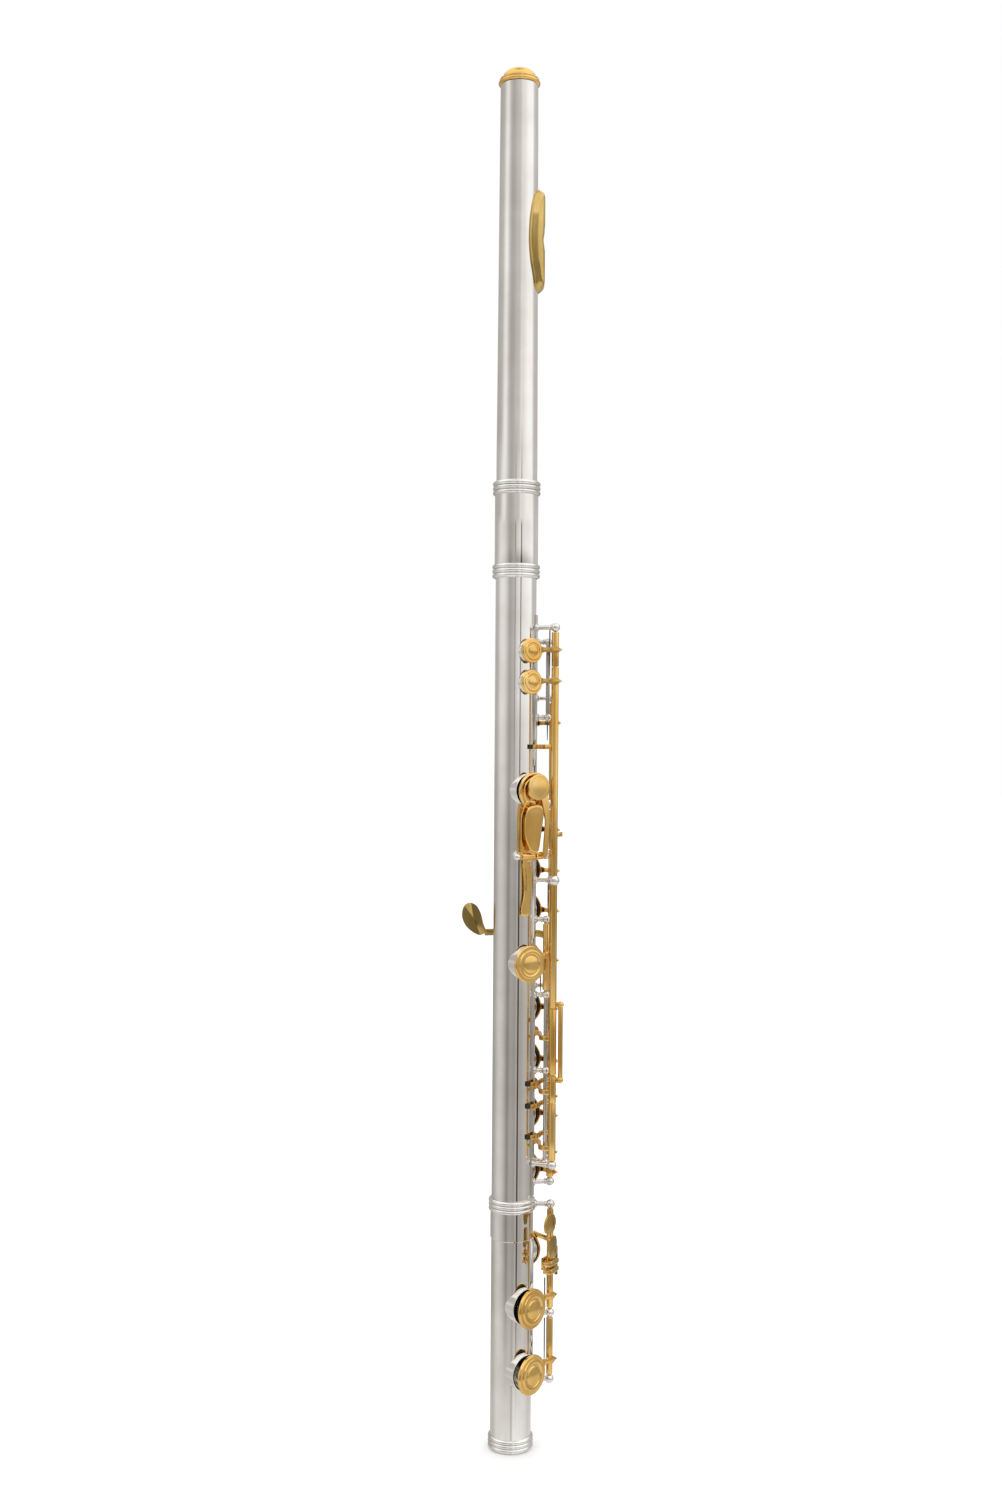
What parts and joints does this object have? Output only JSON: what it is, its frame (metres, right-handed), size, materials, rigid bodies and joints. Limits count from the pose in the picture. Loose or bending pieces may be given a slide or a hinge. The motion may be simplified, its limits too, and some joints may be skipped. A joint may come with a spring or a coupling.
{
  "type": "concert flute",
  "caption": "Transverse concert flute: head, body and foot joints, closed padded keys on rods and posts, lip plate, trill keys, rollers and an adjustable crown and cork.",
  "frame": {"origin": "centre of the bore mouth at the foot end", "axes": "+Z along the bore towards the crown, +X the way the embouchure hole faces, +Y towards the side the finger cups lean to"},
  "size_m": [0.0498, 0.0404, 0.6665],
  "materials": {
    "silver": "polished nickel silver",
    "gold": "polished gold lacquer",
    "steel": "ground steel rod",
    "spring": "blued needle",
    "pad": "black pad skin",
    "felt": "black felt",
    "cork": "fine cork"
  },
  "bodies": {
    "foot_joint": {"foot_tube": "silver", "foot_beads": "silver", "foot_rib": "silver", "foot_posts": "silver", "foot_steel": "steel", "foot_springs": "spring"},
    "body_joint": {"body_tube": "silver", "barrel": "silver", "barrel_beads": "silver", "body_rib": "silver", "body_posts": "silver", "thumb_posts": "silver", "thumb_pin": "steel", "steels": "steel", "body_springs": "spring"},
    "head_joint": {"head_tube": "silver", "lip_plate": "gold", "lip_riser": "gold"},
    "crown": {"crown": "gold"},
    "cork": {"head_cork": "cork", "cork_screw": "steel"},
    "csharp": {"csharp_key": "gold", "csharp_pad": "pad", "csharp_bumper": "felt"},
    "bb": {"bb_key": "gold", "bb_pad": "pad"},
    "a": {"a_key": "gold", "a_pad": "pad"},
    "g": {"g_key": "gold", "g_pad": "pad"},
    "fsharp": {"fsharp_key": "gold", "fsharp_pad": "pad"},
    "f": {"f_key": "gold", "f_pad": "pad", "f_bumper": "felt"},
    "e": {"e_key": "gold", "e_pad": "pad", "e_bumper": "felt"},
    "d": {"d_key": "gold", "d_pad": "pad"},
    "d_trill": {"d_trill_key": "gold", "d_trill_pad": "pad"},
    "dsharp_trill": {"dsharp_trill_key": "gold", "dsharp_trill_pad": "pad"},
    "bb_lever": {"bb_side_lever": "gold"},
    "gsharp": {"gsharp_key": "gold", "gsharp_pad": "pad"},
    "thumb": {"thumb_key": "gold", "thumb_pad": "pad", "thumb_felt": "felt"},
    "thumb_bb": {"thumb_bb_lever": "gold"},
    "eflat": {"eflat_key": "gold", "eflat_pad": "pad"},
    "low_csharp": {"low_csharp_key": "gold", "low_csharp_pad": "pad"},
    "low_c": {"low_c_key": "gold", "low_c_pad": "pad"},
    "csharp_roller": {"csharp_roller": "gold"},
    "c_roller": {"c_roller": "gold"}
  },
  "joints": [
    {"name": "body_turn", "type": "hinge", "parent": "foot_joint", "child": "body_joint", "pos_m": [0, 0, 0.112], "axis": [0, 0, 1], "range_deg": [-25, 25]},
    {"name": "head_slide", "type": "slide", "parent": "body_joint", "child": "head_joint", "axis": [0, 0, 1], "range_m": [0, 0.012]},
    {"name": "crown_turn", "type": "hinge", "parent": "head_joint", "child": "crown", "pos_m": [0, 0, 0.659], "axis": [0, 0, 1], "range_deg": [-720.01, 720.01]},
    {"name": "cork_slide", "type": "slide", "parent": "head_joint", "child": "cork", "axis": [0, 0, 1], "range_m": [-0.002, 0.002]},
    {"name": "csharp_hinge", "type": "hinge", "parent": "body_joint", "child": "csharp", "pos_m": [0.0184, 0.0045, 0.35], "axis": [0, 0, 1], "range_deg": [0, 8.5], "stiffness_Nm_per_rad": 0.012, "springref_deg": -25.78},
    {"name": "bb_hinge", "type": "hinge", "parent": "body_joint", "child": "bb", "pos_m": [0.0184, 0.0045, 0.298], "axis": [0, 0, 1], "range_deg": [0, 8.5], "stiffness_Nm_per_rad": 0.012, "springref_deg": -25.78},
    {"name": "a_hinge", "type": "hinge", "parent": "body_joint", "child": "a", "pos_m": [0.0184, 0.0045, 0.278], "axis": [0, 0, 1], "range_deg": [0, 8.5], "stiffness_Nm_per_rad": 0.012, "springref_deg": -25.78},
    {"name": "g_hinge", "type": "hinge", "parent": "body_joint", "child": "g", "pos_m": [0.0184, 0.0045, 0.246], "axis": [0, 0, 1], "range_deg": [0, 8.5], "stiffness_Nm_per_rad": 0.012, "springref_deg": -25.78},
    {"name": "fsharp_hinge", "type": "hinge", "parent": "body_joint", "child": "fsharp", "pos_m": [0.0184, 0.0045, 0.211], "axis": [0, 0, 1], "range_deg": [0, 8.5], "stiffness_Nm_per_rad": 0.012, "springref_deg": -25.78},
    {"name": "f_hinge", "type": "hinge", "parent": "body_joint", "child": "f", "pos_m": [0.0184, 0.0045, 0.1855], "axis": [0, 0, 1], "range_deg": [0, 8.5], "stiffness_Nm_per_rad": 0.012, "springref_deg": -25.78},
    {"name": "e_hinge", "type": "hinge", "parent": "body_joint", "child": "e", "pos_m": [0.0184, 0.0045, 0.159], "axis": [0, 0, 1], "range_deg": [0, 8.5], "stiffness_Nm_per_rad": 0.012, "springref_deg": -25.78},
    {"name": "d_hinge", "type": "hinge", "parent": "body_joint", "child": "d", "pos_m": [0.0184, 0.0045, 0.1315], "axis": [0, 0, 1], "range_deg": [0, 8.5], "stiffness_Nm_per_rad": 0.012, "springref_deg": -25.78},
    {"name": "d_trill_hinge", "type": "hinge", "parent": "body_joint", "child": "d_trill", "pos_m": [0.019, -0.0065, 0.3694], "axis": [0, 0, 1], "range_deg": [0, 8.5], "stiffness_Nm_per_rad": 0.012, "springref_deg": -25.78},
    {"name": "dsharp_trill_hinge", "type": "hinge", "parent": "body_joint", "child": "dsharp_trill", "pos_m": [0.019, -0.0065, 0.3844], "axis": [0, 0, 1], "range_deg": [0, 8.5], "stiffness_Nm_per_rad": 0.012, "springref_deg": -25.78},
    {"name": "bb_lever_hinge", "type": "hinge", "parent": "body_joint", "child": "bb_lever", "pos_m": [0.019, -0.0065, 0.1982], "axis": [0, 0, 1], "range_deg": [0, 6], "stiffness_Nm_per_rad": 0.012, "springref_deg": -25.78},
    {"name": "gsharp_hinge", "type": "hinge", "parent": "body_joint", "child": "gsharp", "pos_m": [0.0157, -0.0015, 0.2345], "axis": [0, 0, 1], "range_deg": [0, 8], "stiffness_Nm_per_rad": 0.012, "springref_deg": -25.78},
    {"name": "thumb_hinge", "type": "hinge", "parent": "body_joint", "child": "thumb", "pos_m": [0.00893, -0.0123, 0.2863], "axis": [0.809, 0.5878, 0], "range_deg": [-4.5, 0], "stiffness_Nm_per_rad": 0.012, "springref_deg": 25.78},
    {"name": "thumb_bb_hinge", "type": "hinge", "parent": "body_joint", "child": "thumb_bb", "pos_m": [0.00893, -0.0123, 0.2863], "axis": [0.809, 0.5878, 0], "range_deg": [-1.8, 0], "stiffness_Nm_per_rad": 0.012, "springref_deg": 25.78},
    {"name": "eflat_hinge", "type": "hinge", "parent": "foot_joint", "child": "eflat", "pos_m": [0.0186, -0.001, 0.0925], "axis": [0, 0, 1], "range_deg": [-8, 0], "stiffness_Nm_per_rad": 0.012, "springref_deg": 25.78},
    {"name": "low_csharp_hinge", "type": "hinge", "parent": "foot_joint", "child": "low_csharp", "pos_m": [0.0186, -0.001, 0.07], "axis": [0, 0, 1], "range_deg": [-8.5, 0], "stiffness_Nm_per_rad": 0.012, "springref_deg": 25.78},
    {"name": "low_c_hinge", "type": "hinge", "parent": "foot_joint", "child": "low_c", "pos_m": [0.0186, -0.001, 0.0385], "axis": [0, 0, 1], "range_deg": [-8.5, 0], "stiffness_Nm_per_rad": 0.012, "springref_deg": 25.78},
    {"name": "csharp_roller_turn", "type": "hinge", "parent": "low_csharp", "child": "csharp_roller", "pos_m": [0.01962, -0.01001, 0.0919], "axis": [-0.4617, -0.887, 0], "continuous": true},
    {"name": "c_roller_turn", "type": "hinge", "parent": "low_c", "child": "c_roller", "pos_m": [0.01962, -0.01001, 0.0882], "axis": [-0.4617, -0.887, 0], "continuous": true}
  ],
  "couplings": [
    {"joint": "bb_hinge", "follows": "a_hinge", "ratio": 1},
    {"joint": "fsharp_hinge", "follows": "f_hinge", "ratio": 1},
    {"joint": "crown_turn", "follows": "cork_slide", "rad_per_m": -6283.2}
  ]
}
